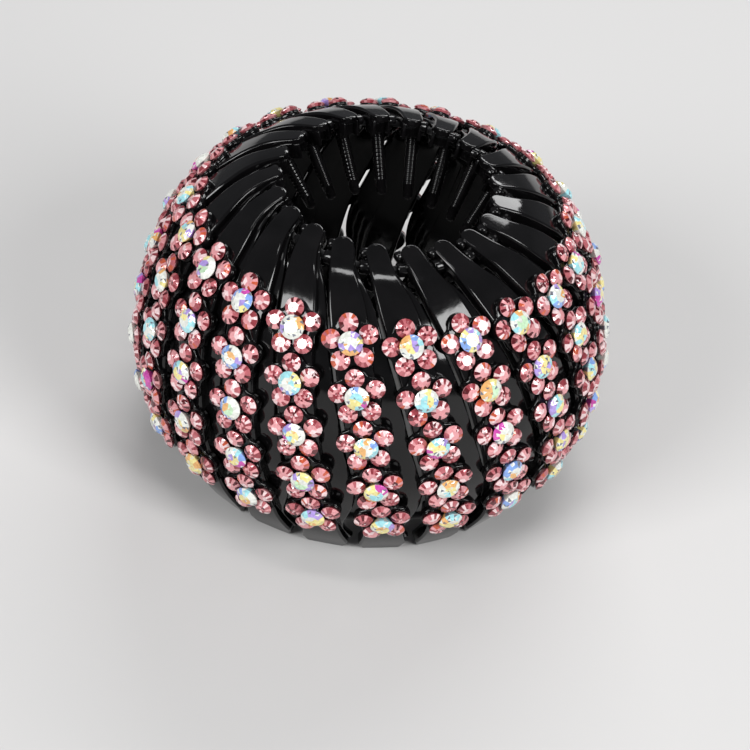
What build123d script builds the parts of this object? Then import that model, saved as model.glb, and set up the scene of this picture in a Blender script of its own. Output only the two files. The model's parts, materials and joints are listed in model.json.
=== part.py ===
"""Rhinestone hair clip: an expandable crown of curved comb blades threaded on two elastic loops.

Units are millimetres, +Z is up. The crown stands on the floor at z = 0 and is centred on the Z axis.
Every blade is the same moulding, turned about Z. One blade is a curved strip that carries the
rhinestone flowers, a wing that closes most of the gap to the next blade, a finger that leans in over
the opening, a ribbed comb pin under the finger, an eyelet in the finger's tip for the upper elastic
and a lug near the foot for the lower elastic.
"""

import os
from math import cos, pi, radians, sin

from build123d import *

# The crown
BLADE_COUNT = 21
FIRST_AZIMUTH = 94.0
STEP_ANGLE = 360 / BLADE_COUNT

# The blade's outer face, from the foot to the finger's tip: (radius, height, azimuth in degrees,
# width of the strip, reach of the wing from the strip's middle towards the next blade)
FOOT_END = (27.2, 1.2, 16.2, 6.8, 3.8)
FOOT_BEND = (29.6, 5.2, 15.2, 5.6, 3.0)
STRIP_LOW = (31.6, 11.2, 13.4, 5.4, 5.0)
STRIP_BELLY = (32.6, 17.9, 10.5, 5.2, 5.4)
STRIP_MIDDLE = (31.9, 24.6, 7.2, 5.2, 5.2)
STRIP_HIGH = (30.1, 31.4, 3.8, 5.2, 4.7)
STRIP_TOP = (26.8, 37.4, 0.0, 5.3, 3.8)
FINGER_ROOT = (23.2, 41.2, -4.0, 4.9, 3.1)
FINGER_WAIST = (19.3, 43.9, -9.4, 3.5, 2.05)
FINGER_TIP = (16.1, 45.1, -13.2, 2.9, 1.6)
BLADE_STATIONS = (
    FOOT_END,
    FOOT_BEND,
    STRIP_LOW,
    STRIP_BELLY,
    STRIP_MIDDLE,
    STRIP_HIGH,
    STRIP_TOP,
    FINGER_ROOT,
    FINGER_WAIST,
    FINGER_TIP,
)
BLADE_THICKNESS = 2.0
WING_DEPTH = 1.0
FOOT_RADIUS = 3.1

# The finger's tip block and the ribbed comb pin under the finger
TIP_BLOCK_DEPTH = 3.2
TIP_BLOCK_LENGTH = 4.6
PIN_ROOT = (18.8, 42.6, -12.6)
PIN_END = (12.5, 33.2, -18.5)
PIN_ROOT_RADIUS = 0.95
PIN_END_RADIUS = 0.7
COLLAR_RADIUS = 1.25
COLLAR_START = 1.7
COLLAR_LENGTH = 0.8
RIB_COUNT = 8
RIB_PITCH = 0.85
RIB_HEIGHT = 0.14

# The elastic loops, their knots, and the lug that holds the lower loop
ELASTIC_RADIUS = 0.5
ELASTIC_CLEARANCE = 0.06
UPPER_ELASTIC = (16.9, 42.9)
LOWER_ELASTIC = (28.1, 7.4)
UPPER_KNOT_AZIMUTH = -11.2
LUG_SIZE = 3.0
LUG_WIDTH = 4.4
LUG_AZIMUTH = 14.6
KNOT_RADIUS = 0.68
KNOT_ANGLE = 2

# The rhinestone flowers: round a raised centre stone, petals in a ring
FLOWER_COUNT = 5
FLOWER_PITCH = 7.3
PETAL_COUNT = 5
PETAL_RING_RADIUS = 2.72
PAD_RISE = 0.35
PAD_DEPTH = 1.0
PAD_RADIUS = 3.2
PETAL_RADIUS = 1.35
PETAL_BASE_RADIUS = 0.85
PETAL_TABLE_RADIUS = 0.8
PETAL_HEIGHTS = (0.5, 0.62, 1.05)
CENTRE_RADIUS = 1.7
CENTRE_BASE_RADIUS = 0.8
CENTRE_TABLE_RADIUS = 1.0
CENTRE_HEIGHTS = (1.15, 1.27, 1.77)


def on_crown(radius, height, azimuth):
    """The point at this radius, height and azimuth about the Z axis."""
    angle = radians(azimuth)
    return Vector(radius * cos(angle), radius * sin(angle), height)


def outward(point, tangent):
    """The direction out of the crown's surface at a point of the blade's line."""
    around = Vector(-point.Y, point.X, 0).normalized()
    along = tangent - around * tangent.dot(around)
    return along.cross(around).normalized() * -1


def face_plane(line, distance):
    """A plane on the blade's outer face: x across the strip, y up the strip, z out of the crown."""
    point = line.position_at(distance, position_mode=PositionMode.LENGTH)
    tangent = line.tangent_at(distance, position_mode=PositionMode.LENGTH)
    normal = outward(point, tangent)
    return Plane(origin=point, x_dir=tangent.cross(normal), z_dir=normal)


def section_plane(line, distance):
    """A plane across the blade: x across the strip, y out of the crown, z up the strip."""
    face = face_plane(line, distance)
    return Plane(origin=face.origin, x_dir=face.x_dir * -1, z_dir=face.y_dir)


def blade_line():
    """The middle line of the blade's outer face, and how far along it each station lies."""
    points = [on_crown(*station[:3]) for station in BLADE_STATIONS]
    with BuildLine() as line:
        Spline(*points)
    edge = line.edges()[0]
    distances = [edge.param_at_point(point) * edge.length for point in points]
    return edge, distances


def blade_section(width, reach):
    """The outline across the blade, from its outer face down: the strip, and the wing beside it."""
    return [
        (width / 2, 0),
        (-width / 2, 0),
        (-width / 2, -WING_DEPTH),
        (-reach, -WING_DEPTH),
        (-reach, -BLADE_THICKNESS),
        (width / 2, -BLADE_THICKNESS),
    ]


def pin_profile(length):
    """Half the outline of the comb pin, from its axis: shank, collar, ribs and rounded end."""
    rib_start = COLLAR_START + COLLAR_LENGTH

    def shank(z):
        return PIN_ROOT_RADIUS + (PIN_END_RADIUS - PIN_ROOT_RADIUS) * z / length

    points = [(0, 0), (shank(0), 0), (shank(COLLAR_START), COLLAR_START)]
    points.append((COLLAR_RADIUS, COLLAR_START + RIB_HEIGHT))
    points.append((COLLAR_RADIUS, rib_start - RIB_HEIGHT))
    points.append((shank(rib_start), rib_start))
    for rib in range(RIB_COUNT):
        crest = rib_start + (rib + 0.5) * RIB_PITCH
        points.append((shank(crest) + RIB_HEIGHT, crest))
        points.append((shank(crest), rib_start + (rib + 1) * RIB_PITCH))
    points.append((PIN_END_RADIUS, length - PIN_END_RADIUS))
    return points


def make_pin():
    """The comb pin, from inside the finger's root to its rounded end."""
    root = on_crown(*PIN_ROOT)
    reach = on_crown(*PIN_END) - root
    points = pin_profile(reach.length)
    with BuildPart() as pin:
        with BuildSketch(Plane.XZ):
            with BuildLine():
                Polyline(*points)
                ThreePointArc(
                    points[-1],
                    (
                        PIN_END_RADIUS * sin(pi / 4),
                        reach.length - PIN_END_RADIUS * (1 - cos(pi / 4)),
                    ),
                    (0, reach.length),
                )
                Line((0, reach.length), (0, 0))
            make_face()
        revolve(axis=Axis.Z)
    return Plane(origin=root, z_dir=reach) * pin.part


def make_blade(line, distances):
    """One blade: strip, wing, finger, tip block, comb pin, foot, lug, flower pads, elastic holes."""
    pin = make_pin()
    tip = face_plane(line, line.length)
    foot = face_plane(line, 0)
    lug_centre = on_crown(*LOWER_ELASTIC, LUG_AZIMUTH)
    lug_plane = Plane(origin=lug_centre, x_dir=Vector(-lug_centre.Y, lug_centre.X, 0), z_dir=(0, 0, 1))
    with BuildPart() as blade:
        for station, distance in zip(BLADE_STATIONS, distances):
            with BuildSketch(section_plane(line, distance)):
                Polygon(*blade_section(*station[3:]), align=None)
        loft()
        with BuildSketch(foot):
            Circle(FOOT_RADIUS)
        extrude(amount=-BLADE_THICKNESS)
        with BuildSketch(tip):
            with Locations((0, FINGER_TIP[3] / 2 - TIP_BLOCK_LENGTH / 2)):
                SlotOverall(TIP_BLOCK_LENGTH, FINGER_TIP[3], rotation=90)
        extrude(amount=-TIP_BLOCK_DEPTH)
        for flower in flower_planes(line, distances):
            with BuildSketch(flower):
                Circle(PAD_RADIUS)
            extrude(amount=-PAD_DEPTH - PAD_RISE)
        with BuildSketch(lug_plane.offset(-LUG_SIZE / 2)):
            Rectangle(LUG_WIDTH, LUG_SIZE)
        extrude(amount=LUG_SIZE)
        add(pin)
        for radius, height in (UPPER_ELASTIC, LOWER_ELASTIC):
            with Locations((0, 0, height)):
                Torus(radius, ELASTIC_RADIUS + ELASTIC_CLEARANCE, mode=Mode.SUBTRACT)
        split(bisect_by=Plane.XY, keep=Keep.TOP)
    return blade.part


def flower_planes(line, distances):
    """A plane for each flower, on top of its pad, from the strip's top down."""
    top = distances[BLADE_STATIONS.index(STRIP_TOP)]
    return [
        face_plane(line, top - flower * FLOWER_PITCH).offset(PAD_RISE)
        for flower in range(FLOWER_COUNT)
    ]


def make_stone(radius, base_radius, table_radius, heights):
    """A round stone on its own plane: a cone below the girdle, a flat table on top."""
    girdle_low, girdle_high, table = heights
    with BuildPart() as stone:
        with BuildSketch(Plane.XZ):
            Polygon(
                (0, 0),
                (base_radius, 0),
                (radius, girdle_low),
                (radius, girdle_high),
                (table_radius, table),
                (0, table),
                align=None,
            )
        revolve(axis=Axis.Z)
    return stone.part


def make_rhinestones(line, distances):
    """The stones of one blade: in each flower a raised centre stone and a ring of petals."""
    petal = make_stone(PETAL_RADIUS, PETAL_BASE_RADIUS, PETAL_TABLE_RADIUS, PETAL_HEIGHTS)
    centre = make_stone(CENTRE_RADIUS, CENTRE_BASE_RADIUS, CENTRE_TABLE_RADIUS, CENTRE_HEIGHTS)
    with BuildPart() as stones:
        for flower in flower_planes(line, distances):
            with Locations(flower):
                add(centre)
                with PolarLocations(PETAL_RING_RADIUS, PETAL_COUNT, start_angle=90):
                    add(petal)
    return stones.part


def make_elastic(radius, height, knot_azimuth):
    """A loop of round elastic cord, whose ends meet in a knot in the gap between two blades."""
    with BuildPart() as elastic:
        with BuildSketch(Plane.XZ):
            with Locations((radius, height)):
                Circle(ELASTIC_RADIUS)
        revolve(axis=Axis.Z, revolution_arc=360 - KNOT_ANGLE)
        with Locations(on_crown(radius, height, -KNOT_ANGLE / 2)):
            Sphere(KNOT_RADIUS)
    return elastic.part.rotate(Axis.Z, knot_azimuth + KNOT_ANGLE / 2)


def write(part, name):
    """Label one piece and write it under its node's name."""
    part.label = name
    export_step(part, f"parts/{name}.step")


def main():
    os.makedirs("parts", exist_ok=True)
    line, distances = blade_line()
    blade = make_blade(line, distances)
    rhinestones = make_rhinestones(line, distances)
    for number in range(BLADE_COUNT):
        azimuth = FIRST_AZIMUTH + number * STEP_ANGLE
        write(blade.rotate(Axis.Z, azimuth), f"blade_{number + 1:02d}")
        write(rhinestones.rotate(Axis.Z, azimuth), f"rhinestones_{number + 1:02d}")
    gap = FIRST_AZIMUTH - STEP_ANGLE / 2
    write(make_elastic(*UPPER_ELASTIC, gap + UPPER_KNOT_AZIMUTH), "upper_elastic")
    write(make_elastic(*LOWER_ELASTIC, gap + LUG_AZIMUTH), "lower_elastic")


main()
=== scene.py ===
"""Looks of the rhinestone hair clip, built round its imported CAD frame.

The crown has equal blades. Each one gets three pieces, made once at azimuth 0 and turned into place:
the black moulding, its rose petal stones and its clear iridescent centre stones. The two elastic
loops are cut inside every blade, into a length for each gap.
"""

import json
import math
import random

import bmesh
import bpy
import numpy as np
from mathutils import Matrix, Vector


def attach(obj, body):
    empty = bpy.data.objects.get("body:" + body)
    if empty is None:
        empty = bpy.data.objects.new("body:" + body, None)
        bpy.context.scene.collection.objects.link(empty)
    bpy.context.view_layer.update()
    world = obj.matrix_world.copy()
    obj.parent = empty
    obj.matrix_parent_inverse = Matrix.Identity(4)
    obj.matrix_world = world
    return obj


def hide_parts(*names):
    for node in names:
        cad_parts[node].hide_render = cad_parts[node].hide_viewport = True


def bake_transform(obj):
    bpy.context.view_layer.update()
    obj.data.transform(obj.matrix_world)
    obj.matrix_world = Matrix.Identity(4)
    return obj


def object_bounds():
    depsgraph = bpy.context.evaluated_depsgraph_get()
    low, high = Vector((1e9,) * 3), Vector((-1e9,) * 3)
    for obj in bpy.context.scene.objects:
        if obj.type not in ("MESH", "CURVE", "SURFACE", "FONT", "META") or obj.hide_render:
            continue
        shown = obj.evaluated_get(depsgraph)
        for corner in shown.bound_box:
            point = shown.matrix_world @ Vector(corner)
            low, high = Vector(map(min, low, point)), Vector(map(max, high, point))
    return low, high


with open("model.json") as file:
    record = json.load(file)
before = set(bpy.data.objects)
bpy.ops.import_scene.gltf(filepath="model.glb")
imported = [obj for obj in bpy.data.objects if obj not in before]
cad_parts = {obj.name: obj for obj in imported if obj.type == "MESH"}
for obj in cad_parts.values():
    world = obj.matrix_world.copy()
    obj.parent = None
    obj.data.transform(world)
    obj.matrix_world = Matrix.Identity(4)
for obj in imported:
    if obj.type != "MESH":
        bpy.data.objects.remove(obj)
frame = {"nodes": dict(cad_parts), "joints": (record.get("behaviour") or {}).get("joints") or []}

CAD_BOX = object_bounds()
MM = 0.001
BLADES = sorted(name for name in frame["nodes"] if name.startswith("blade_"))
STEP_ANGLE = 360 / len(BLADES)
FIRST_AZIMUTH = 94.0

# The blade's outer face at azimuth 0, from foot to finger tip, in millimetres and degrees:
# radius, height, azimuth, width of the strip, reach of the wing towards the next blade
STATIONS = (
    (27.2, 1.2, 16.2, 6.8, 3.8),
    (29.6, 5.2, 15.2, 5.6, 3.0),
    (31.6, 11.2, 13.4, 5.4, 5.45),
    (32.6, 17.9, 10.5, 5.2, 5.9),
    (31.9, 24.6, 7.2, 5.2, 5.65),
    (30.1, 31.4, 3.8, 5.2, 5.15),
    (26.8, 37.4, 0.0, 5.3, 4.2),
    (23.2, 41.2, -4.0, 4.9, 3.35),
    (19.3, 43.9, -9.4, 3.5, 2.05),
    (16.1, 45.1, -13.2, 2.9, 1.6),
)
THICKNESS = 2.0
WING_DEPTH = 1.0
FOOT_RADIUS = 3.1

# The finger thins to its tip, over TAPER_LENGTH from TAPER_START before its end
TIP_THICKNESS = 1.15
TAPER_START, TAPER_LENGTH = 3.2, 2.4

# Under the tip: the block, measured from the face of the finger, and the ears beside it
BLOCK_LENGTH = 3.3
BLOCK_DEPTH = 3.1
BLOCK_FRONT = 0.15
EAR_THICKNESS, EAR_LENGTH, EAR_DEPTH = 0.5, 2.3, 2.3
KNOB_PROFILE = (
    (0.0, -0.4),
    (0.75, -0.4),
    (0.75, 0.25),
    (0.70, 0.44),
    (0.57, 0.58),
    (0.38, 0.66),
    (0.0, 0.70),
)

# The comb pin: ends as (radius, height, azimuth), and the collar as (start, length, radius)
PIN_ROOT = (18.8, 42.6, -12.6)
PIN_END = (12.5, 33.2, -18.5)
PIN_RADII = (0.95, 0.7)
COLLAR = (1.7, 0.8, 1.25)
COLLAR_BEVEL = 0.12
RIBS = 12
RIB_PITCH = 0.57
RIB_HEIGHT = 0.10
RIB_SHAPE = ((0.1, 0.0), (0.35, 0.75), (0.5, 1.0), (0.65, 0.75), (0.9, 0.0))

# Each elastic loop as (radius, height), and where the blade holds it
UPPER_ELASTIC = (16.9, 42.9)
LOWER_ELASTIC = (28.1, 7.4)
ELASTIC_RADIUS = 0.5
EYELET_AZIMUTH = -12.6
LUG_AZIMUTH = 14.6
LUG_SIZE = (4.4, 3.0, 3.0)
LUG_BEVEL = 0.45
HOLE_RADIUS = 0.57
UPPER_KNOT_AZIMUTH = -11.2
KNOT_RADIUS = 0.68

# The cup round a petal stone and the post under a centre stone, as (radius, height above the pad)
CUP_PROFILE = (
    (1.33, -0.30),
    (1.38, 0.08),
    (1.34, 0.15),
    (1.22, 0.16),
    (1.08, 0.13),
    (0.86, -0.02),
)
POST_PROFILE = ((1.16, -0.3), (1.16, 0.22), (1.10, 0.30), (0.99, 0.26), (0.82, -0.02))

# The plate under a flower: its edge as (inset, height), and its reach past the petals' middles
SCALLOP_LEVELS = (
    (0.22, -0.95),
    (0.03, -0.45),
    (0.0, -0.16),
    (0.05, -0.06),
    (0.15, 0.0),
    (1.2, 0.02),
)
PETALS = 5
SCALLOP_MARGIN, LOBE_REACH = 0.45, 0.95

# Stones, in millimetres above the pad: radius, base radius, table radius, girdle's two edges, table
PETAL_GEM = (1.35, 0.85, 0.72, 0.50, 0.60, 1.05)
CENTRE_GEM = (1.70, 0.80, 0.98, 1.15, 1.25, 1.77)
MAX_TILT = 4  # degrees that a stone may stand off true

# Area lights: name, place and size in metres, power in watts
LIGHTS = (
    ("left", (-0.42, -0.40, 0.42), (0.30, 0.30), 3.3),
    ("right", (0.42, -0.36, 0.42), (0.26, 0.30), 3.3),
    ("back", (0.10, 0.55, 0.40), (0.50, 0.20), 2.4),
    ("top", (0.0, -0.06, 0.60), (0.30, 0.05), 0.5),
)
LIGHT_TARGET = (0, 0, 0.02)


# ---------------------------------------------------------------- geometry helpers

def on_crown(radius, height, azimuth):
    """A point about the Z axis, in millimetres."""
    angle = math.radians(azimuth)
    return np.array((radius * math.cos(angle), radius * math.sin(angle), height))


def unit(vector):
    return vector / np.linalg.norm(vector)


def smooth_step(t):
    t = min(max(t, 0.0), 1.0)
    return t * t * (3 - 2 * t)


class BladeLine:
    """A smooth line through the stations, with the crown's outward direction along it."""

    def __init__(self, samples=600, past_end=4.0):
        points = np.array([on_crown(*station[:3]) for station in STATIONS])
        knots = np.concatenate(([0], np.cumsum(np.linalg.norm(np.diff(points, axis=0), axis=1))))
        along = np.linspace(0, knots[-1], samples)
        curve = np.stack([natural_cubic(knots, points[:, i], along) for i in range(3)], -1)
        lengths = np.concatenate(([0], np.cumsum(np.linalg.norm(np.diff(curve, axis=0), axis=1))))
        before = curve[0] - unit(curve[1] - curve[0]) * past_end
        after = curve[-1] + unit(curve[-1] - curve[-2]) * past_end
        self.length = lengths[-1]
        self.s = np.concatenate(([-past_end], lengths, [self.length + past_end]))
        self.points = np.vstack((before, curve, after))
        self.stations = np.interp(knots, along, lengths)
        self.half = self.along_line(3, lengths) / 2
        self.reach = self.along_line(4, lengths)

    def along_line(self, column, lengths):
        """One column of the stations, smoothed along the line and held level past its ends."""
        values = natural_cubic(self.stations, np.array([s[column] for s in STATIONS]), lengths)
        return np.concatenate(([values[0]], values, [values[-1]]))

    def frame_at(self, s):
        """The point, the direction across the strip and the outward direction at s."""
        ahead, behind = self.point(s + 0.15), self.point(s - 0.15)
        point = self.point(s)
        tangent = unit(ahead - behind)
        around = unit(np.array((-point[1], point[0], 0.0)))
        along = tangent - around * (tangent @ around)
        outward = unit(np.cross(around, along))
        return point, unit(np.cross(outward, tangent)), outward

    def point(self, s):
        return np.array([np.interp(s, self.s, self.points[:, i]) for i in range(3)])

    def half_width(self, s):
        return float(np.interp(s, self.s, self.half))

    def wing_reach(self, s):
        return float(np.interp(s, self.s, self.reach))

    def place(self, s, across, height):
        """A point in metres. Depths shrink at the finger's tip, which is thinner than the strip."""
        point, side, outward = self.frame_at(s)
        taper = smooth_step((s - self.length + TAPER_START) / TAPER_LENGTH)
        thinning = (1 - TIP_THICKNESS / THICKNESS) * taper
        return (point + side * across + outward * height * (1 - thinning)) * MM

    def tip_matrix(self, s, across, height):
        """A matrix at the finger's tip: X across, Y along the finger, Z out of the crown."""
        point, side, outward = self.frame_at(self.length)
        forward = np.cross(side, outward)
        centre = point + side * across + forward * s + outward * height
        matrix = Matrix((side, forward, outward)).transposed().to_4x4()
        matrix.translation = Vector(centre) * MM
        return matrix


def natural_cubic(x, y, at):
    """A natural cubic spline through the points (x, y), read at each value of at."""
    n = len(x)
    h = np.diff(x)
    matrix = np.eye(n)
    right = np.zeros(n)
    for i in range(1, n - 1):
        matrix[i, i - 1 : i + 2] = h[i - 1], 2 * (h[i - 1] + h[i]), h[i]
        right[i] = 6 * ((y[i + 1] - y[i]) / h[i] - (y[i] - y[i - 1]) / h[i - 1])
    bend = np.linalg.solve(matrix, right)
    i = np.clip(np.searchsorted(x, at) - 1, 0, n - 2)
    a, b = (x[i + 1] - at) / h[i], (at - x[i]) / h[i]
    curve = (a**3 - a) * bend[i] + (b**3 - b) * bend[i + 1]
    return a * y[i] + b * y[i + 1] + curve * h[i] ** 2 / 6


def slab(bm, outline, rings, place, columns=4, crown=0.0):
    """A closed plate: outline is one side of it, from one end on its middle line to the other.

    rings are (inset, height) from the underside to the top, and place turns (along, across, height)
    into a point. Both faces are filled with rows across, and the top rises by crown in the middle.
    """
    outline = np.array(outline)
    ahead = np.roll(outline, -1, 0)
    behind = np.roll(outline, 1, 0)
    ahead[-1] = outline[-2] * (1, -1)
    behind[0] = outline[1] * (1, -1)
    run = ahead - behind
    inward = np.stack((run[:, 1], -run[:, 0]), -1)
    inward /= np.linalg.norm(inward, axis=1)[:, None]
    last = len(outline) - 1
    levels = []
    for inset, height in rings:
        inner = outline + inward * inset
        left = [bm.verts.new(place(s, w, height)) for s, w in inner]
        right = [left[0]]
        right += [bm.verts.new(place(s, -w, height)) for s, w in inner[1:last]]
        right.append(left[-1])
        levels.append((left, right, inner, height))
    for (low_left, low_right, *_), (left, right, *_) in zip(levels, levels[1:]):
        for j in range(last):
            bm.faces.new((low_left[j], left[j], left[j + 1], low_left[j + 1]))
            bm.faces.new((low_right[j + 1], right[j + 1], right[j], low_right[j]))
    for level, rise, flip in ((levels[0], 0.0, False), (levels[-1], crown, True)):
        left, right, inner, height = level
        rows = [[left[0]]]
        for j in range(1, last):
            s, w = inner[j]
            row = [left[j]]
            for k in range(1, columns):
                v = 1 - 2 * k / columns
                row.append(bm.verts.new(place(s, w * v, height + rise * (1 - v * v))))
            rows.append(row + [right[j]])
        rows.append([left[-1]])
        fill_rows(bm, rows, flip)


def fill_rows(bm, rows, flip):
    """Faces between rows of vertices, of which the first and last rows may be a single vertex."""
    for a, b in zip(rows, rows[1:]):
        for k in range(max(len(a), len(b)) - 1):
            corners = [a[min(k, len(a) - 1)], a[min(k + 1, len(a) - 1)]]
            corners += [b[min(k + 1, len(b) - 1)], b[min(k, len(b) - 1)]]
            face = list(dict.fromkeys(corners))
            bm.faces.new(face[::-1] if flip else face)


def lathe(bm, profile, plane, segments=24):
    """A turned shape: profile is (radius, height) pairs, plane a matrix whose Z is the axis."""
    rings = []
    for radius, height in profile:
        if radius < 1e-6:
            rings.append([bm.verts.new(plane @ Vector((0, 0, height * MM)))])
            continue
        ring = []
        for k in range(segments):
            angle = 2 * math.pi * k / segments
            local = Vector((radius * math.cos(angle), radius * math.sin(angle), height)) * MM
            ring.append(bm.verts.new(plane @ local))
        rings.append(ring)
    for low, high in zip(rings, rings[1:]):
        for k in range(segments):
            corners = [low[k % len(low)], low[(k + 1) % len(low)]]
            corners += [high[(k + 1) % len(high)], high[k % len(high)]]
            bm.faces.new(list(dict.fromkeys(corners)))


def plane_at(origin, axis, across=(0, 0, 1)):
    """A matrix with its Z along axis and its X as near to across as it can be. Origin in mm."""
    z = Vector(axis).normalized()
    y = z.cross(Vector(across)).normalized()
    x = y.cross(z)
    matrix = Matrix((x, y, z)).transposed().to_4x4()
    matrix.translation = Vector(origin) * MM
    return matrix


def finish_mesh(bm, name, material, smooth_angle=None):
    """A mesh object from bm, with one material. With no angle, every face is flat."""
    bmesh.ops.recalc_face_normals(bm, faces=bm.faces)
    mesh = bpy.data.meshes.new(name)
    for face in bm.faces:
        face.smooth = smooth_angle is not None
    if smooth_angle is not None:
        for edge in bm.edges:
            sharp = len(edge.link_faces) == 2 and edge.calc_face_angle() > math.radians(smooth_angle)
            edge.smooth = not sharp
    bm.to_mesh(mesh)
    bm.free()
    mesh.materials.append(material)
    piece = bpy.data.objects.new(name, mesh)
    bpy.context.scene.collection.objects.link(piece)
    return piece


# ---------------------------------------------------------------- materials

def principled(name, **values):
    """A new material, its nodes, links and its Principled shader with the sockets set to values."""
    material = bpy.data.materials.new(name)
    material.use_nodes = True
    nodes, links = material.node_tree.nodes, material.node_tree.links
    shader = nodes["Principled BSDF"]
    for socket, value in values.items():
        shader.inputs[socket.replace("_", " ")].default_value = value
    return material, nodes, links, shader


def noise_node(nodes, links, scale, detail, roughness=0.5):
    """Noise in object space, so that it stays with the piece. Scale is in cycles per metre."""
    place = nodes.new("ShaderNodeTexCoord")
    noise = nodes.new("ShaderNodeTexNoise")
    noise.inputs["Scale"].default_value = scale
    noise.inputs["Detail"].default_value = detail
    noise.inputs["Roughness"].default_value = roughness
    links.new(place.outputs["Object"], noise.inputs["Vector"])
    return noise


def ramp_node(nodes, links, source, stops):
    """A colour ramp fed by source. Stops are (position, colour)."""
    ramp = nodes.new("ShaderNodeValToRGB")
    elements = ramp.color_ramp.elements
    while len(elements) < len(stops):
        elements.new(0.5)
    for element, (position, colour) in zip(elements, stops):
        element.position = position
        element.color = (*colour, 1)
    links.new(source, ramp.inputs["Fac"])
    return ramp


def range_node(nodes, links, source, low, high):
    """source, from 0 to 1, turned into a value from low to high."""
    remap = nodes.new("ShaderNodeMapRange")
    remap.inputs["To Min"].default_value = low
    remap.inputs["To Max"].default_value = high
    links.new(source, remap.inputs["Value"])
    return remap


def bump_node(nodes, links, shader, source, strength, distance):
    """Bumps on the shader's surface, as high as source times distance, in metres."""
    bump = nodes.new("ShaderNodeBump")
    bump.inputs["Strength"].default_value = strength
    bump.inputs["Distance"].default_value = distance
    links.new(source, bump.inputs["Height"])
    links.new(bump.outputs["Normal"], shader.inputs["Normal"])


def black_plastic():
    """Piano-black moulded plastic: faint flow marks in the colour, handling haze, a soft waviness."""
    material, nodes, links, shader = principled(
        "black_plastic", Specular_IOR_Level=0.38, Coat_Weight=0.05, Coat_Roughness=0.03
    )
    flow = noise_node(nodes, links, 240, 5)
    blacks = ((0.3, (0.0018, 0.0017, 0.0019)), (0.75, (0.0050, 0.0046, 0.0050)))
    colour = ramp_node(nodes, links, flow.outputs["Fac"], blacks)
    links.new(colour.outputs["Color"], shader.inputs["Base Color"])
    haze = noise_node(nodes, links, 900, 6, 0.65)
    rough = range_node(nodes, links, haze.outputs["Fac"], 0.04, 0.13)
    links.new(rough.outputs["Result"], shader.inputs["Roughness"])
    wave = noise_node(nodes, links, 420, 2)
    bump_node(nodes, links, shader, wave.outputs["Fac"], 0.08, 0.0003)
    return material


def gem_glass(name, metal, roughness, coat):
    """Foil-backed cut glass: each facet keeps the colour it shows, with its painted reflections and
    highlights, under a clear polished coat.
    """
    material, nodes, links, shader = principled(
        name,
        Metallic=metal,
        Coat_Weight=coat,
        Coat_Roughness=0.03,
        Coat_IOR=1.6,
        Specular_IOR_Level=0.7,
    )
    # The facet colours carry the stones' own tints together with painted reflections, highlights and
    # shade.
    facet = nodes.new("ShaderNodeVertexColor")
    facet.layer_name = "facet"
    depth = noise_node(nodes, links, 2600, 3, 0.6)
    shade = range_node(nodes, links, depth.outputs["Fac"], 0.78, 1.18)
    shaded = nodes.new("ShaderNodeVectorMath")
    shaded.operation = "SCALE"
    links.new(facet.outputs["Color"], shaded.inputs[0])
    links.new(shade.outputs["Result"], shaded.inputs["Scale"])
    links.new(shaded.outputs["Vector"], shader.inputs["Base Color"])
    polish = range_node(nodes, links, depth.outputs["Fac"], roughness * 0.6, roughness * 1.5)
    links.new(polish.outputs["Result"], shader.inputs["Roughness"])
    return material


def braided_cord():
    """Black braided elastic: a fine criss-cross of yarns with a soft sheen."""
    material, nodes, links, shader = principled(
        "braided_elastic", Sheen_Weight=0.35, Sheen_Roughness=0.5, Specular_IOR_Level=0.3
    )
    yarn = noise_node(nodes, links, 3200, 3, 0.7)
    blacks = ((0.3, (0.006, 0.006, 0.007)), (0.8, (0.030, 0.029, 0.031)))
    colour = ramp_node(nodes, links, yarn.outputs["Fac"], blacks)
    links.new(colour.outputs["Color"], shader.inputs["Base Color"])
    rough = range_node(nodes, links, yarn.outputs["Fac"], 0.55, 0.85)
    links.new(rough.outputs["Result"], shader.inputs["Roughness"])
    bump_node(nodes, links, shader, yarn.outputs["Fac"], 0.5, 0.0001)
    return material


def pale_floor():
    """A plain pale matt floor."""
    return principled(
        "pale_floor", Base_Color=(0.575, 0.57, 0.565, 1), Roughness=0.55, Specular_IOR_Level=0.3
    )[0]


# ---------------------------------------------------------------- the moulding

def end_arc(centre, radius, start, stop, steps=9):
    """Points (along, half width) of a round end, between two angles in degrees."""
    angles = np.radians(np.linspace(start, stop, steps))
    return [(centre + radius * math.sin(a), max(radius * math.cos(a), 0.0)) for a in angles]


def blade_outline(line, spacing=0.4):
    """One side of the blade seen from outside: round foot, strip, narrowing finger, round tip."""
    tip = line.half_width(line.length)
    count = int(line.length / spacing)
    middle = [(s, line.half_width(s)) for s in np.linspace(0, line.length, count)[1:-1]]
    return end_arc(0, FOOT_RADIUS, -90, 0) + middle + end_arc(line.length, tip, 0, 90)


def add_strip(bm, line):
    """The strip and finger: a flat face with a thin chamfer all round, and a rounded back edge."""
    rings = (
        (0.80, -THICKNESS),
        (0.50, -THICKNESS),
        (0.22, -THICKNESS + 0.08),
        (0.06, -THICKNESS + 0.25),
        (0.0, -THICKNESS + 0.50),
        (0.0, -THICKNESS + 0.65),
        (0.0, -0.40),
        (0.0, -0.28),
        (0.04, -0.20),
        (0.17, -0.05),
        (0.24, 0.0),
        (0.40, 0.0),
    )
    slab(bm, blade_outline(line), rings, line.place, columns=6, crown=0.03)


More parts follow.
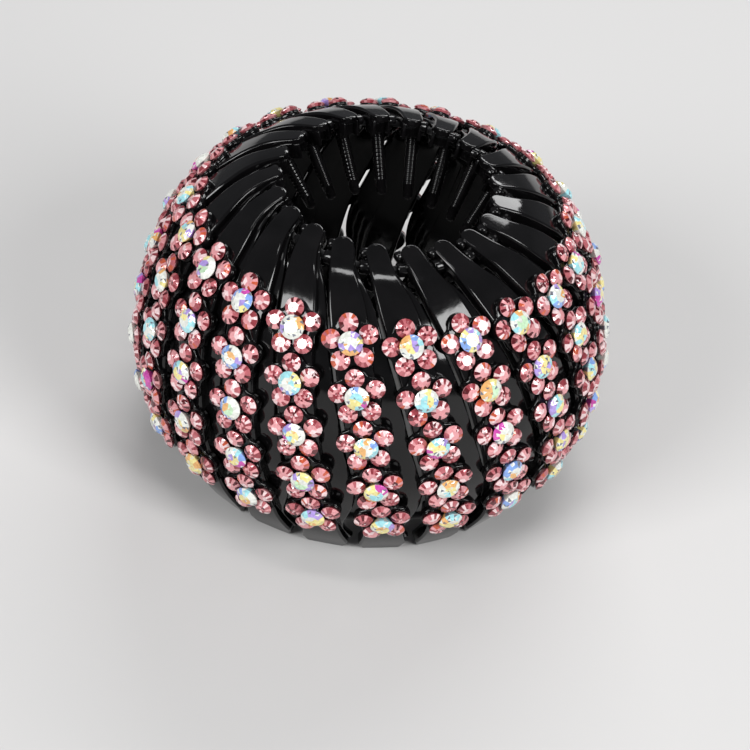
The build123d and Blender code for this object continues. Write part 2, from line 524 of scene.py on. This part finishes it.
def add_wing(bm, line, spacing=0.5):
    """The thin wing beside the strip, a step below its face, with a rounded edge."""
    top, low = -WING_DEPTH, -THICKNESS + 0.02
    edge = (
        (0.25, top),
        (0.08, top - 0.05),
        (0.0, top - 0.18),
        (0.0, low + 0.3),
        (0.08, low + 0.1),
        (0.3, low),
    )
    rows = []
    for s in np.linspace(0.2, line.length, int(line.length / spacing)):
        root = -line.half_width(s) + 0.8
        reach = line.wing_reach(s)
        tip = [(-reach + inset, height) for inset, height in edge]
        across = [(root, top)] + tip + [(root, low)]
        rows.append([bm.verts.new(line.place(s, *point)) for point in across])
    for a, b in zip(rows, rows[1:]):
        for k in range(len(a)):
            n = (k + 1) % len(a)
            bm.faces.new((a[k], a[n], b[n], b[k]))
    bm.faces.new(rows[0])
    bm.faces.new(rows[-1][::-1])


def add_box(bm, matrix, size, bevel):
    """A box with rounded edges, centred on matrix. Size and bevel in millimetres."""
    result = bmesh.ops.create_cube(bm, size=MM)
    edges = list({e for v in result["verts"] for e in v.link_edges})
    bmesh.ops.scale(bm, vec=size, verts=result["verts"])
    bmesh.ops.transform(bm, matrix=matrix, verts=result["verts"])
    bmesh.ops.bevel(bm, geom=edges, offset=bevel * MM, segments=3, affect="EDGES", profile=0.5)


def add_tip_block(bm, line):
    """Under the finger's tip: the upper elastic's block, an ear on each side, a knob on one edge."""
    half = line.half_width(line.length)
    block_sunk, ear_sunk, ear_inset = 0.3, 0.35, 0.04
    block_height = BLOCK_DEPTH - TIP_THICKNESS + block_sunk
    matrix = line.tip_matrix(BLOCK_FRONT - BLOCK_LENGTH / 2, 0, block_height / 2 - BLOCK_DEPTH)
    add_box(bm, matrix, (2 * half - 0.5, BLOCK_LENGTH, block_height), 0.25)
    for side in (-1, 1):
        across = side * (half - ear_inset - EAR_THICKNESS / 2)
        matrix = line.tip_matrix(-0.1, across, -TIP_THICKNESS + ear_sunk - EAR_DEPTH / 2)
        add_box(bm, matrix, (EAR_THICKNESS, EAR_LENGTH, EAR_DEPTH), 0.14)
    sideways = Matrix.Rotation(math.pi / 2, 4, "Y")
    lathe(bm, KNOB_PROFILE, line.tip_matrix(0.7, half, -1.0) @ sideways, 20)


def add_pin(bm):
    """The comb pin: a tapering shank with a collar and moulded ribs, and a smooth rounded end."""
    root, end = on_crown(*PIN_ROOT), on_crown(*PIN_END)
    length = float(np.linalg.norm(end - root))
    collar_at, collar_length, collar_radius = COLLAR

    def shank(z):
        return PIN_RADII[0] + (PIN_RADII[1] - PIN_RADII[0]) * z / length

    rib_start = collar_at + collar_length
    profile = [(shank(0), 0), (shank(collar_at) + 0.02, collar_at - 0.1)]
    profile += [(collar_radius - COLLAR_BEVEL, collar_at), (collar_radius, collar_at + COLLAR_BEVEL)]
    profile += [(collar_radius, rib_start - COLLAR_BEVEL), (collar_radius - COLLAR_BEVEL, rib_start)]
    for rib in range(RIBS):
        low = rib_start + rib * RIB_PITCH
        for part, rise in RIB_SHAPE:
            z = low + part * RIB_PITCH
            profile.append((shank(z) + RIB_HEIGHT * rise, z))
    top = length - PIN_RADII[1]
    for angle in np.radians(np.linspace(0, 90, 7)):
        profile.append((PIN_RADII[1] * math.cos(angle), top + PIN_RADII[1] * math.sin(angle)))
    profile[-1] = (0.0, length)
    lathe(bm, profile, plane_at(root, end - root), 20)


def add_lug(bm):
    """The rounded lug inside the foot, which the lower elastic goes through."""
    centre = on_crown(*LOWER_ELASTIC, LUG_AZIMUTH)
    radial = unit(centre * (1, 1, 0))
    around = (-radial[1], radial[0], 0)
    add_box(bm, plane_at(centre, (0, 0, 1), around), LUG_SIZE, LUG_BEVEL)


def add_eyelets(bm, line):
    """Raised rims round both elastic holes, where the cord enters and leaves the blade."""
    half_tip, half_lug = line.half_width(line.length), LUG_SIZE[0] / 2
    for loop, azimuth, side, rim, stand in (
        (UPPER_ELASTIC, EYELET_AZIMUTH, half_tip, 0.90, 0.05),
        (UPPER_ELASTIC, EYELET_AZIMUTH, -half_tip, 1.05, 0.75),
        (LOWER_ELASTIC, LUG_AZIMUTH, half_lug, 0.95, 0.0),
        (LOWER_ELASTIC, LUG_AZIMUTH, -half_lug, 0.95, 0.0),
    ):
        centre = on_crown(*loop, azimuth)
        around = unit(np.array((-centre[1], centre[0], 0.0)))
        plane = plane_at(centre + around * side, around * side)
        profile = (
            (HOLE_RADIUS, -0.6),
            (HOLE_RADIUS, stand + 0.08),
            (0.62, stand + 0.13),
            (rim - 0.30, stand + 0.13),
            (rim - 0.10, stand + 0.05),
            (rim, stand - 0.15),
            (rim, -0.9),
        )
        lathe(bm, profile, plane, 20)


def add_cups(bm, seats):
    """A black cup round each petal, a post under each centre, and a scalloped plate per flower."""
    petals = [seat for seat, is_centre in seats if not is_centre]
    for seat in petals:
        lathe(bm, CUP_PROFILE, seat, 24)
    for seat, is_centre in seats:
        if is_centre:
            lathe(bm, POST_PROFILE, seat, 20)
            ways = [petal.translation - seat.translation for petal in petals]
            toward = min(ways, key=lambda way: way.length)
            add_scallop(bm, seat, toward.length / MM, seat.to_3x3().inverted() @ toward)


def add_scallop(bm, seat, ring_radius, toward):
    """A plate with a lobe under each petal. toward points to one petal, in the seat's own plane."""
    phase = math.atan2(toward.y, toward.x)
    steps = 80
    rings = []
    for inset, height in SCALLOP_LEVELS:
        ring = []
        for k in range(steps):
            angle = 2 * math.pi * k / steps
            lobe = 0.5 + 0.5 * math.cos(PETALS * (angle - phase))
            r = ring_radius + SCALLOP_MARGIN + LOBE_REACH * lobe**0.8 - inset
            local = Vector((r * math.cos(angle), r * math.sin(angle), height))
            ring.append(bm.verts.new(seat @ (local * MM)))
        rings.append(ring)
    for low, high in zip(rings, rings[1:]):
        for k in range(steps):
            n = (k + 1) % steps
            bm.faces.new((low[k], low[n], high[n], high[k]))
    bm.faces.new(rings[0][::-1])
    bm.faces.new(rings[-1])


def make_moulding(line, seats, material):
    """One blade's black moulding at azimuth 0, standing on z = 0."""
    bm = bmesh.new()
    add_strip(bm, line)
    add_wing(bm, line)
    everything = bm.verts[:] + bm.edges[:] + bm.faces[:]
    floor_cut = bmesh.ops.bisect_plane(
        bm, geom=everything, plane_co=(0, 0, 0), plane_no=(0, 0, -1), clear_outer=True
    )
    cut_edges = [e for e in floor_cut["geom_cut"] if isinstance(e, bmesh.types.BMEdge)]
    bmesh.ops.contextual_create(bm, geom=cut_edges)
    add_tip_block(bm, line)
    add_pin(bm)
    add_lug(bm)
    add_eyelets(bm, line)
    add_cups(bm, seats)
    return finish_mesh(bm, "moulding", material, 50)


# ---------------------------------------------------------------- the stones

def stone_seats(node):
    """Every stone of a CAD node: the matrix of its seat on the pad, and whether it is a centre."""
    bm = bmesh.new()
    bm.from_mesh(node.data)
    bmesh.ops.remove_doubles(bm, verts=bm.verts, dist=1e-6)
    seats, seen = [], set()
    middle = np.array((0.0, 0.0, CAD_BOX[1][2] / 2))
    between = (PETAL_GEM[0] + CENTRE_GEM[0]) / 2
    for start in bm.verts:
        if start in seen:
            continue
        group, stack = [], [start]
        seen.add(start)
        while stack:
            vert = stack.pop()
            group.append(np.array(vert.co))
            for edge in vert.link_edges:
                other = edge.other_vert(vert)
                if other not in seen:
                    seen.add(other)
                    stack.append(other)
        points = np.array(group)
        centre = points.mean(0)
        axis = np.linalg.svd(points - centre)[2][-1]
        axis = axis if axis @ (centre - middle) > 0 else -axis
        depth = (points - centre) @ axis
        across = (points - centre) - depth[:, None] * axis
        radius = np.linalg.norm(across, axis=1).max() / MM
        base = centre + axis * depth.min()
        seats.append((plane_at(base / MM, axis), radius > between))
    bm.free()
    return seats


# The colours that facets show, as linear light: the stones' own rose and iridescent tints, and the
# light and dark tones of painted reflections, highlights and fire
WHITE_PINK, PALE_PINK, ROSE = (0.95, 0.70, 0.71), (0.78, 0.34, 0.36), (0.51, 0.135, 0.155)
DEEP_ROSE, GARNET, EMBER = (0.305, 0.045, 0.058), (0.102, 0.007, 0.012), (0.578, 0.102, 0.045)
WHITE, YELLOW, ORANGE = (0.82, 0.84, 0.78), (0.88, 0.78, 0.32), (0.83, 0.45, 0.16)
CYAN, BLUE, VIOLET = (0.38, 0.76, 0.82), (0.24, 0.40, 0.80), (0.44, 0.32, 0.74)
# The smoky grey is a painted dark reflection in the clear centre stones.
MAGENTA, GREEN, DARK_REFLECTION = (0.62, 0.08, 0.42), (0.58, 0.82, 0.55), (0.17, 0.18, 0.22)
SECTORS = 16


def varied(rng, colour, amount=0.12):
    """The colour, made a little lighter or darker."""
    factor = 1 + rng.uniform(-amount, amount)
    return tuple(min(channel * factor, 1.0) for channel in colour)


def petal_tones(rng):
    """Tones of a rose stone: painted reflections in light and dark wedges by turns, with a painted
    highlight on one side of the stone.
    """
    # The rose is the stones' own colour. The light and dark wedges, the lit side, the pale table and
    # the orange ember sectors are painted reflections, highlights and flashes of fire.
    bright_sectors, ember_sectors, table_sectors = 7, 5, 5
    bright_side = rng.randrange(SECTORS)
    ember_side = rng.randrange(SECTORS) if rng.random() < 0.4 else None
    table_highlight = rng.random() < 0.55
    reflection_tones = (WHITE_PINK, PALE_PINK, PALE_PINK, ROSE, DEEP_ROSE, DEEP_ROSE, GARNET)
    # Scattered painted reflections, light and dark, across the table and its heart
    table_reflections = [rng.choice(reflection_tones) for _ in range(SECTORS)]
    wedges = []
    light = rng.random() < 0.5
    while len(wedges) < SECTORS:
        k = len(wedges)
        bright = (k - bright_side) % SECTORS < bright_sectors
        if light:
            choices = (PALE_PINK, PALE_PINK, ROSE)
            if bright:
                choices = (WHITE_PINK, WHITE_PINK, PALE_PINK)
        else:
            choices = (ROSE, DEEP_ROSE, DEEP_ROSE) if bright else (DEEP_ROSE, GARNET, GARNET)
            if ember_side is not None and (k - ember_side) % SECTORS < ember_sectors:
                choices = (EMBER,)
        wedges += [rng.choice(choices)] * rng.choice((1, 1, 2))
        light = not light

    def tone(kind, k):
        # A pale table is a painted highlight, whitest on the sectors towards the lit side.
        if kind in ("table", "heart") and table_highlight:
            lit = (k - bright_side) % SECTORS < table_sectors
            return varied(rng, WHITE_PINK if lit else PALE_PINK, 0.1)
        if kind == "table":
            return varied(rng, table_reflections[k // 2])
        if kind == "heart":
            return varied(rng, table_reflections[SECTORS // 2 + k // 2])
        if kind in ("base", "girdle"):
            return varied(rng, rng.choice((PALE_PINK, PALE_PINK, ROSE, ROSE, DEEP_ROSE)))
        return varied(rng, wedges[k])

    return tone


def aurora_tones(rng):
    """Tones of an iridescent stone: one leading colour on the table, other films round the rim, with
    painted highlights and painted dark reflections.
    """
    leading = rng.choice((YELLOW, YELLOW, YELLOW, WHITE, WHITE, CYAN, GREEN))
    second = rng.choice([c for c in (WHITE, CYAN, VIOLET, YELLOW, ORANGE) if c != leading])
    start, length = rng.randrange(SECTORS), rng.randint(3, 7)
    films = (WHITE, WHITE, WHITE, BLUE, VIOLET, MAGENTA, CYAN, CYAN, YELLOW, YELLOW, ORANGE)
    rim = []
    while len(rim) < SECTORS:
        rim += [rng.choice(films)] * rng.choice((2, 2, 4))

    def tone(kind, k):
        if kind in ("table", "heart"):
            colour = second if (k - start) % SECTORS < length else leading
            # The films are the coating's own tints, fixed per facet. Now and then a table facet takes
            # a painted highlight in white, a painted dark reflection in smoky grey, or an orange
            # flash.
            if rng.random() < 0.12:
                colour = rng.choice((WHITE, WHITE, DARK_REFLECTION, ORANGE))
            return varied(rng, colour)
        # Odd rim facets often take a painted highlight in white or a painted dark reflection in smoky
        # grey.
        if k % 2 and rng.random() < 0.45:
            return varied(rng, rng.choice((WHITE, WHITE, DARK_REFLECTION)))
        return varied(rng, rim[k])

    return tone


def add_gem(bm, layer, seat, gem, tone, turn):
    """A round cut stone: an eight-sided table, star, kite, girdle and pavilion facets in wedges."""
    radius, base_radius, table_radius, girdle_low, girdle_high, table = gem
    flat = math.cos(math.pi / 8)

    def ring(r_even, r_odd, height):
        made = []
        for k in range(SECTORS):
            angle = turn + 2 * math.pi * k / SECTORS
            r = r_odd if k % 2 else r_even
            local = Vector((r * math.cos(angle), r * math.sin(angle), height))
            made.append(bm.verts.new(seat @ (local * MM)))
        return made

    def facet(kind, k, *verts):
        colour = tone(kind, k)
        for loop in bm.faces.new(verts).loops:
            loop[layer] = (*colour, 1)

    crown_height = table - girdle_high
    middle = (radius + table_radius) / 2
    base = ring(base_radius, base_radius, 0)
    low = ring(radius, radius, girdle_low)
    high = ring(radius, radius, girdle_high)
    shoulder = ring(middle * 0.97, middle * 1.05, girdle_high + crown_height * 0.52)
    top = ring(table_radius, table_radius * flat, table)
    inner = ring(table_radius * 0.45, table_radius * 0.45, table)
    heart = bm.verts.new(seat @ Vector((0, 0, table * MM)))
    bm.faces.new(base[::-1])
    for k in range(SECTORS):
        n = (k + 1) % SECTORS
        facet("base", k, base[k], base[n], low[n], low[k])
        facet("girdle", k, low[k], low[n], high[n], high[k])
        facet("crown", k, high[k], high[n], shoulder[n])
        facet("crown", k, high[k], shoulder[n], shoulder[k])
        facet("star", k, shoulder[k], shoulder[n], top[k])
        facet("star", k, shoulder[n], top[n], top[k])
        facet("table", k, top[k], top[n], inner[n], inner[k])
        facet("heart", k, inner[k], inner[n], heart)


def make_stones(seats, number, pink, aurora):
    """The two pieces of stones of one blade."""
    pieces = []
    for is_centre, gem, tones, name, material in (
        (False, PETAL_GEM, petal_tones, "petal_stones", pink),
        (True, CENTRE_GEM, aurora_tones, "centre_stones", aurora),
    ):
        rng = random.Random(1000 * is_centre + number)
        bm = bmesh.new()
        layer = bm.loops.layers.float_color.new("facet")
        for seat, centre in seats:
            if centre == is_centre:
                tilt = Matrix.Rotation(math.radians(rng.uniform(-MAX_TILT, MAX_TILT)), 4, "X")
                tilt @= Matrix.Rotation(math.radians(rng.uniform(-MAX_TILT, MAX_TILT)), 4, "Y")
                add_gem(bm, layer, seat @ tilt, gem, tones(rng), rng.uniform(0, math.pi / 4))
        pieces.append(finish_mesh(bm, f"{name}_{number:02d}", material))
    return pieces


# ---------------------------------------------------------------- the elastic loops

def cord_tube(name, radius, height, start, stop, thick, material):
    """A length of round cord on the loop's circle, between two azimuths in degrees."""
    bm = bmesh.new()
    steps, segments = 14, 16
    upward = np.array((0, 0, 1))
    rings = []
    for i in range(steps + 1):
        azimuth = start + (stop - start) * i / steps
        centre = on_crown(radius, height, azimuth)
        radial = unit(centre * (1, 1, 0))
        ring = []
        for k in range(segments):
            angle = 2 * math.pi * k / segments
            point = centre + thick * (math.cos(angle) * radial + math.sin(angle) * upward)
            ring.append(bm.verts.new(point * MM))
        rings.append(ring)
    for a, b in zip(rings, rings[1:]):
        for k in range(segments):
            bm.faces.new((a[k], b[k], b[(k + 1) % segments], a[(k + 1) % segments]))
    bm.faces.new(rings[0])
    bm.faces.new(rings[-1][::-1])
    return finish_mesh(bm, name, material, 60)


def make_elastic(name, loop, hole_azimuth, material):
    """One elastic loop, cut into a length for every gap between two blades.

    No joint closes the ring, so the last length rides the last blade without stretching. It is
    longer by the gap's travel and a little thinner, and slides through the first blade, inside the
    first length.
    """
    radius, height = loop
    count = len(BLADES)
    travel = frame["joints"][0]["range_m"][1] / MM
    for number in range(count):
        start = FIRST_AZIMUTH + number * STEP_ANGLE + hole_azimuth
        stop = start + STEP_ANGLE
        body, label = BLADES[number], f"{name}_{number + 1:02d}"
        if number == count - 1:
            tail = math.degrees(travel / radius) + 0.5
            thick = ELASTIC_RADIUS * 0.97
            piece = cord_tube(label, radius, height, start, stop + tail, thick, material)
            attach(piece, body)
        else:
            piece = cord_tube(label, radius, height, start, stop, ELASTIC_RADIUS, material)
            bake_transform(piece)
    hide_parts(name)


def make_knot(name, loop, knot_azimuth, material):
    """The knot that joins a loop's ends, in the gap between the last blade and the first."""
    bm = bmesh.new()
    centre = on_crown(*loop, FIRST_AZIMUTH - STEP_ANGLE / 2 + knot_azimuth)
    steps, segments, thick = 60, 10, KNOT_RADIUS * 0.34
    size = (KNOT_RADIUS - thick) / 3

    def path(t):
        x = math.sin(t) + 2 * math.sin(2 * t)
        y = math.cos(t) - 2 * math.cos(2 * t)
        return centre + size * np.array((x, y, -2 * math.sin(3 * t)))

    rings = []
    for i in range(steps):
        t = 2 * math.pi * i / steps
        point, run = path(t), unit(path(t + 0.01) - path(t - 0.01))
        out = unit(np.cross(run, point - centre + 1e-4))
        up = np.cross(run, out)
        ring = []
        for a in np.linspace(0, 2 * math.pi, segments, endpoint=False):
            around = thick * (math.cos(a) * out + math.sin(a) * up)
            ring.append(bm.verts.new((point + around) * MM))
        rings.append(ring)
    for i in range(steps):
        a, b = rings[i], rings[(i + 1) % steps]
        for k in range(segments):
            n = (k + 1) % segments
            bm.faces.new((a[k], b[k], b[n], a[n]))
    knot = finish_mesh(bm, name, material, 60)
    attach(knot, BLADES[0])


# ---------------------------------------------------------------- stage, light and camera

def add_floor(material):
    mesh = bpy.data.meshes.new("floor")
    half = 1.5
    corners = [(-half, -half, 0), (half, -half, 0), (half, half, 0), (-half, half, 0)]
    mesh.from_pydata(corners, [], [(0, 1, 2, 3)])
    mesh.materials.append(material)
    floor = bpy.data.objects.new("floor", mesh)
    bpy.context.scene.collection.objects.link(floor)


def add_light(name, place, size, power):
    """A rectangular soft light that faces the crown."""
    lamp = bpy.data.lights.new(name, "AREA")
    lamp.shape = "RECTANGLE"
    lamp.size, lamp.size_y = size
    lamp.energy = power
    light = bpy.data.objects.new(name, lamp)
    light.location = place
    aim = Vector(LIGHT_TARGET) - Vector(place)
    light.rotation_euler = aim.to_track_quat("-Z", "Y").to_euler()
    bpy.context.scene.collection.objects.link(light)


def add_world():
    """A dim, even, slightly cool surround. The Standard view keeps the stones' colours saturated."""
    world = bpy.data.worlds.new("studio")
    world.use_nodes = True
    background = world.node_tree.nodes["Background"]
    background.inputs["Color"].default_value = (0.93, 0.95, 1.0, 1)
    background.inputs["Strength"].default_value = 0.16
    bpy.context.scene.world = world
    bpy.context.scene.view_settings.view_transform = "Standard"


def add_camera():
    """A long lens, raised and rolled a little, whose middle line passes near the crown's middle."""
    elevation, roll = math.radians(39.9), math.radians(6.96)
    distance, shift_right, shift_up = 0.5306, 0.0016, 0.0076
    forward = Vector((0, math.cos(elevation), -math.sin(elevation)))
    right = Vector((1, 0, 0))
    up = right.cross(forward)
    look = right * shift_right + up * shift_up
    camera = bpy.data.cameras.new("camera")
    camera.sensor_width = 36
    camera.lens = 172.8
    rig = bpy.data.objects.new("camera", camera)
    turn = Matrix((right, up, -forward)).transposed() @ Matrix.Rotation(roll, 3, "Z")
    rig.matrix_world = Matrix.Translation(look - forward * distance) @ turn.to_4x4()
    bpy.context.scene.collection.objects.link(rig)
    bpy.context.scene.camera = rig


def main():
    add_world()
    add_camera()
    add_floor(pale_floor())
    for light in LIGHTS:
        add_light(*light)
    line = BladeLine()
    plastic, elastic = black_plastic(), braided_cord()
    pink = gem_glass("rose_crystal", 0.12, 0.14, 0.45)
    aurora = gem_glass("aurora_crystal", 0.08, 0.12, 0.45)
    first = stone_seats(frame["nodes"]["rhinestones_01"])
    back = Matrix.Rotation(math.radians(-FIRST_AZIMUTH), 4, "Z")
    at_zero = [(back @ seat, is_centre) for seat, is_centre in first]
    moulding = make_moulding(line, at_zero, plastic)
    for number, body in enumerate(BLADES, 1):
        turn = Matrix.Rotation(math.radians(FIRST_AZIMUTH + (number - 1) * STEP_ANGLE), 4, "Z")
        mesh = moulding.data.copy()
        mesh.transform(turn)
        blade = bpy.data.objects.new(f"moulding_{number:02d}", mesh)
        bpy.context.scene.collection.objects.link(blade)
        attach(blade, body)
        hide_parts(body)
        seats = [(turn @ seat, is_centre) for seat, is_centre in at_zero]
        petals, centres = make_stones(seats, number, pink, aurora)
        for piece, slot in ((petals, "rhinestone"), (centres, "ab_crystal")):
            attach(piece, body)
        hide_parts(f"rhinestones_{number:02d}")
    bpy.data.objects.remove(moulding)
    make_elastic("upper_elastic", UPPER_ELASTIC, EYELET_AZIMUTH, elastic)
    make_elastic("lower_elastic", LOWER_ELASTIC, LUG_AZIMUTH, elastic)
    make_knot("upper_knot", UPPER_ELASTIC, UPPER_KNOT_AZIMUTH, elastic)
    make_knot("lower_knot", LOWER_ELASTIC, LUG_AZIMUTH, elastic)


main()
